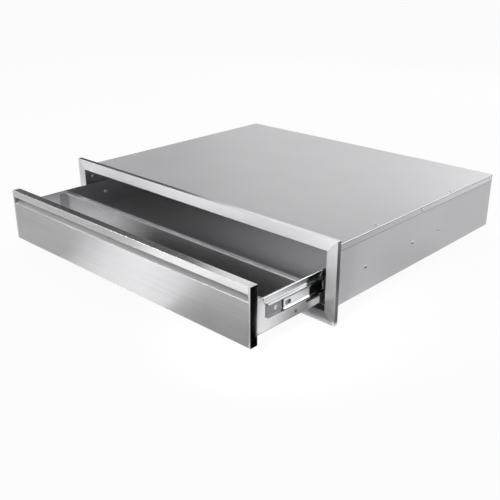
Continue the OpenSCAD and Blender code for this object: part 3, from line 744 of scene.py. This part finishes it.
def boxNuts():
    bm = bmesh.new()
    for side in (-1, 1):
        for y in screwSets["slideDrawerScrews"]["ys"]:
            part = bmesh.new()
            line = [part.verts.new((radius, 0, z)) for radius, z in nuts["profile"]]
            edges = [part.edges.new(pair) for pair in zip(line, line[1:])]
            bmesh.ops.spin(part, geom=line + edges, cent=(0, 0, 0), axis=(0, 0, 1), angle=2 * math.pi,
                           steps=nuts["steps"], use_merge=True)
            bmesh.ops.remove_doubles(part, verts=part.verts, dist=nuts["weld"])
            bmesh.ops.recalc_face_normals(part, faces=part.faces[:])
            bmesh.ops.rotate(part, verts=part.verts, cent=(0, 0, 0),
                             matrix=Matrix.Rotation(math.radians(-90 * side), 3, "Y"))
            bmesh.ops.translate(part, verts=part.verts, vec=(side * nuts["seat"], y, slide["height"]))
            joinInto(bm, part)
    finishedPiece("boxNuts", bm, [nickelSteel], "drawer", ["box_rail_nuts"],
                  sharp=screws["sharp"])


boxNuts()
print("fasteners made")

# Materials of the CAD nodes that stay
keptFinishes = {
    "case_left": millStainless, "case_right": millStainless, "case_bottom": millStainless,
    "case_back": millStainless, "front_back": brushedAcross, "pull_riser": brushedAcross,
    "front_screws": screwSteel, "box_floor": dullStainless, "box_front": dullStainless,
    "box_back": dullStainless, "divider_rivets": platedSteel,
}
for word in ("left", "right"):
    for node, finish in (("case_member", platedSteel), ("outer_cage", millStainless),
                         ("inner_cage", millStainless), ("outer_balls", ballSteel),
                         ("inner_balls", ballSteel), ("slide_stop", stopRubber)):
        keptFinishes[word + "_" + node] = finish
for node, finish in keptFinishes.items():
    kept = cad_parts[node]
    kept.data.materials.clear()
    kept.data.materials.append(finish)
print("kept nodes dressed")

# Camera at the photograph's angle, its turn and tilt in radians and its clip distances in metres
camera = {"place": (1062.7, -941.9, 635.2), "turn": -0.756, "tilt": -0.399, "lens": 52.93, "sensor": 36,
          "near": 0.05, "far": 50}
lens = bpy.data.cameras.new("productCamera")
lens.lens = camera["lens"]
lens.sensor_width = camera["sensor"]
lens.clip_start = camera["near"]
lens.clip_end = camera["far"]
photographer = bpy.data.objects.new("productCamera", lens)
scene.collection.objects.link(photographer)
photographer.location = at(*camera["place"])
cosTilt = math.cos(camera["tilt"])
looking = Vector((cosTilt * math.sin(camera["turn"]), cosTilt * math.cos(camera["turn"]),
                  math.sin(camera["tilt"])))
photographer.rotation_euler = looking.to_track_quat("-Z", "Y").to_euler()
scene.camera = photographer

# Studio: a paper floor 50 metres wide, white walls round the set and a dimmer ceiling
studio = {"floorHalf": 25, "floorDrop": 0.2, "floorColour": "#f0f0f0", "floorGlow": 0.94,
          "wallTop": 0.12, "ceilingFrom": 0.45, "walls": 0.94, "ceiling": 0.45, "cardLift": 2}


# Floor and cards are there only when seen from their printed side
def oneSided(tree, printed):
    side = addNode(tree, "ShaderNodeNewGeometry")
    clear = addNode(tree, "ShaderNodeBsdfTransparent")
    sheet = addNode(tree, "ShaderNodeMixShader",
                    links={"Fac": side.outputs["Backfacing"], 1: printed, 2: clear.outputs["BSDF"]})
    addNode(tree, "ShaderNodeOutputMaterial", links={"Surface": sheet.outputs["Shader"]})


# White paper: matt, and near white to the camera and in the metal whatever light falls on it
def whitePaper():
    material, tree = emptyMaterial("whitePaper")
    paths = addNode(tree, "ShaderNodeLightPath")
    paper = addNode(tree, "ShaderNodeBsdfDiffuse", inputs={"Color": linear(studio["floorColour"])})
    white = addNode(tree, "ShaderNodeEmission", inputs={"Color": (1, 1, 1, 1), "Strength": 1})
    mirrored = addNode(tree, "ShaderNodeMath", {"operation": "MAXIMUM"},
                       links={0: paths.outputs["Is Glossy Ray"], 1: paths.outputs["Is Transmission Ray"]})
    seen = addNode(tree, "ShaderNodeMath", {"operation": "MAXIMUM"},
                   links={0: paths.outputs["Is Camera Ray"], 1: mirrored.outputs["Value"]})
    share = addNode(tree, "ShaderNodeMath", {"operation": "MULTIPLY"}, inputs={1: studio["floorGlow"]},
                    links={0: seen.outputs["Value"]})
    mix = addNode(tree, "ShaderNodeMixShader",
                  links={"Fac": share.outputs["Value"], 1: paper.outputs["BSDF"],
                         2: white.outputs["Emission"]})
    oneSided(tree, mix.outputs["Shader"])
    return material


def paperFloor():
    bm = bmesh.new()
    bmesh.ops.create_grid(bm, x_segments=1, y_segments=1, size=studio["floorHalf"])
    bmesh.ops.translate(bm, verts=bm.verts, vec=(0, 0, cadBox[0].z - studio["floorDrop"] * mm))
    floor = objectFrom(bm, "paperFloor")
    floor.data.materials.append(whitePaper())


paperFloor()

world = bpy.data.worlds.new("studioWorld")
scene.world = world
world.use_nodes = True
worldTree = world.node_tree
worldTree.nodes.clear()
heading = addNode(worldTree, "ShaderNodeTexCoord")
rise = addNode(worldTree, "ShaderNodeSeparateXYZ", links={0: heading.outputs["Generated"]})
level = addNode(worldTree, "ShaderNodeMapRange", {"interpolation_type": "SMOOTHSTEP"},
                inputs={"From Min": studio["wallTop"], "From Max": studio["ceilingFrom"],
                        "To Min": studio["walls"], "To Max": studio["ceiling"]},
                links={"Value": rise.outputs["Z"]})
walls = addNode(worldTree, "ShaderNodeBackground", inputs={"Color": (1, 1, 1, 1)},
                links={"Strength": level.outputs["Result"]})
addNode(worldTree, "ShaderNodeOutputWorld", links={"Surface": walls.outputs["Background"]})

# Lamps: size in metres, power in watts, and "only" links a small fill to the pieces that it is for
lamps = {
    "backSoftbox": {"place": (-750, 2500, 1000), "aim": (0, 200, 147), "size": (2.6, 1), "power": 10},
    "rightSoftbox": {"place": (2100, 1900, 1200), "aim": (350, 400, 100), "size": (1.2, 1), "power": 13},
    "stripSoftbox": {"place": (-1560, -1740, 250), "aim": (90, -190, 60), "size": (0.12, 0.5), "power": 6.5},
    "trimSoftbox": {"place": (-600, -1150, 1500), "aim": (300, 0, 150), "size": (0.5, 0.5), "power": 10,
                    "scattered": False},
    "leftSoftbox": {"place": (-1750, -800, 950), "aim": (-200, -50, 120), "size": (0.4, 0.4), "power": 2,
                    "scattered": False},
    "sparkLamp": {"place": (-100, -700, 450), "aim": (-350, 40, 95), "size": (0.04, 0.04), "power": 0.25,
                  "scattered": False},
    "coverCornerFill": {"place": (560, 640, 480), "aim": (320, 520, 147), "size": (0.2, 0.2), "power": 1.2,
                        "mirrored": False, "only": ["caseCoverSheet"]},
    "uprightFill": {"place": (430, -300, 340), "aim": (368, 0, 150), "size": (0.1, 0.1), "power": 0.45,
                    "beam": 60, "only": ["trim_rightBar", "trim_topBar"]},
    "openingFill": {"place": (420, -420, 250), "aim": (250, 80, 42), "size": (0.15, 0.1), "power": 1.2,
                    "mirrored": False, "beam": 75,
                    "only": ["boxSideRight", "boxSideLeft", "boxNuts", "box_floor", "box_front", "box_back",
                             "case_right", "paperFloor"]},
    "coverFill": {"place": (-900, 300, 1300), "aim": (-250, 100, 147), "size": (0.6, 0.6), "power": 5.6,
                  "mirrored": False},
}
for name, lamp in lamps.items():
    light = bpy.data.lights.new(name, "AREA")
    light.shape = "RECTANGLE"
    light.size, light.size_y = lamp["size"]
    light.energy = lamp["power"]
    light.spread = math.radians(lamp.get("beam", 180))
    holder = bpy.data.objects.new(name, light)
    scene.collection.objects.link(holder)
    holder.visible_camera = False
    holder.visible_glossy = lamp.get("mirrored", True)
    holder.visible_diffuse = lamp.get("scattered", True)
    holder.location = at(*lamp["place"])
    holder.rotation_euler = (at(*lamp["aim"]) - at(*lamp["place"])).to_track_quat("-Z", "Y").to_euler()
    if "only" in lamp:
        lit = bpy.data.collections.new(name + "Pieces")
        for piece in lamp["only"]:
            lit.objects.link(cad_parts[piece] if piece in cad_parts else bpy.data.objects[piece])
        holder.light_linking.receiver_collection = lit


# Cards give the metal dark and bright shapes to mirror, and nothing else sees them
def hangCard(bm, name, paper):
    card = objectFrom(bm, name)
    card.data.materials.append(paper)
    card.visible_camera = card.visible_diffuse = card.visible_shadow = False


# Plain cards lie just above the paper or stand on it, by their corners in millimetres
def lying(*corners):
    return [(x, y, studio["cardLift"]) for x, y in corners]


def standing(start, end, low, high):
    return [(*start, low), (*end, low), (*end, high), (*start, high)]


cards = {
    "rightFloorCard": lying((500, 75), (900, 88), (900, 420), (384, 420), (384, 75)),
    "capFloorCard": lying((480, -330), (700, -420), (900, -60), (560, 70), (443, -77), (415, -108),
                          (400, -124), (400, -180)),
    # painted shade beside the slide, dark in the mirror of the slide and the box side near the frame
    "slideCard": standing((357.2, -1), (357.2, -38), 50, 104),
    "frontFloorCard": lying((110, -330), (330, -330), (330, -205), (110, -205)),
    # painted shadow of the drawer on the floor, as the trim's lower bar and uprights mirror it
    "underDrawerCard": lying((-350, -170), (400, -170), (400, -8), (-350, -8)),
    "backLeftCard": standing((-2400, 810), (-840, 810), studio["cardLift"], 900),
    "frontLeftCard": lying((-2200, -2200), (-300, -2200), (-150, -362), (-2200, -362)),
    "frontNearCard": lying((-2200, -362), (-150, -362), (-230, -196), (-2200, -196)),
}
# Card papers are matt, and each gives the metal an even dark, grey or pale patch
cardColours = {"black": "#0c0c0c", "grey": "#c8c8c8", "pale": "#e6e6e6"}
colourOf = {"frontLeftCard": "grey", "frontNearCard": "pale"}
cardPapers = {}
for colour, hexColour in cardColours.items():
    cardPapers[colour], cardTree = emptyMaterial(colour + "Card")
    dull = addNode(cardTree, "ShaderNodeBsdfDiffuse", inputs={"Color": linear(hexColour)})
    oneSided(cardTree, dull.outputs["BSDF"])
for name, corners in cards.items():
    bm = bmesh.new()
    bm.faces.new([bm.verts.new(at(*corner)) for corner in corners])
    hangCard(bm, name, cardPapers[colourOf.get(name, "black")])


# Graded cards fade from white to black, so the metal shades softly along its length. Their rows run from edge
# to edge in millimetres, each with how bright it is
def slantedRows(left, right, start, slant, stops):
    rise = slant * (right - left)
    return [((left, start + far), (right, start + far + rise), bright) for far, bright in stops]


gradedCards = {
    "lowSideCard": {"height": 2.4, "rows": slantedRows(384, 436, -28, 1, [
        (-98, 0.94), (-70, 0.8), (-39, 0.55), (-13, 0.33), (13, 0.26), (35, 0.13), (60, 0.08), (95, 0.03)])},
    "highSideCard": {"height": 2.4, "rows": slantedRows(467, 500, 55, 1, [
        (-92, 0.94), (-75, 0.66), (-45, 0.46), (-13, 0.34), (25, 0.22), (58, 0.12), (95, 0.03)])},
    "slideSideCard": {"height": 2.4, "rows": slantedRows(436, 467, 0, 0, [
        (45, 0.94), (58, 0.9), (70, 0.62), (85, 0.5), (94, 0.2), (102, 0.03), (150, 0.03)])},
    # The compartment card lies on the floor of the front compartment and is seen only in the divider: a
    # painted reflection, bright at the left and dark at the right where shade falls
    "compartmentCard": {"height": 43, "rows": [
        ((-348, -69), (-348, -170), 0.62), ((-210, -69), (-290, -170), 0.55),
        ((-130, -69), (-210, -170), 0.28), ((-60, -69), (-140, -170), 0.05),
        ((0, -69), (-80, -170), 0.015), ((290, -69), (290, -170), 0.015)]},
}
gradedPaper, gradedTree = emptyMaterial("gradedCard")
tones = addNode(gradedTree, "ShaderNodeAttribute", {"attribute_name": "tone"})
glow = addNode(gradedTree, "ShaderNodeEmission", links={"Strength": tones.outputs["Fac"]})
oneSided(gradedTree, glow.outputs["Emission"])
for name, strip in gradedCards.items():
    bm = bmesh.new()
    tone = bm.verts.layers.float.new("tone")
    rows = []
    for left, right, bright in strip["rows"]:
        rows.append([bm.verts.new(at(*end, strip["height"])) for end in (left, right)])
        for vert in rows[-1]:
            vert[tone] = bright
    for near, far in zip(rows, rows[1:]):
        bm.faces.new((near[0], near[1], far[1], far[0]))
    hangCard(bm, name, gradedPaper)

scene.view_settings.view_transform = "Standard"
print("studio ready")
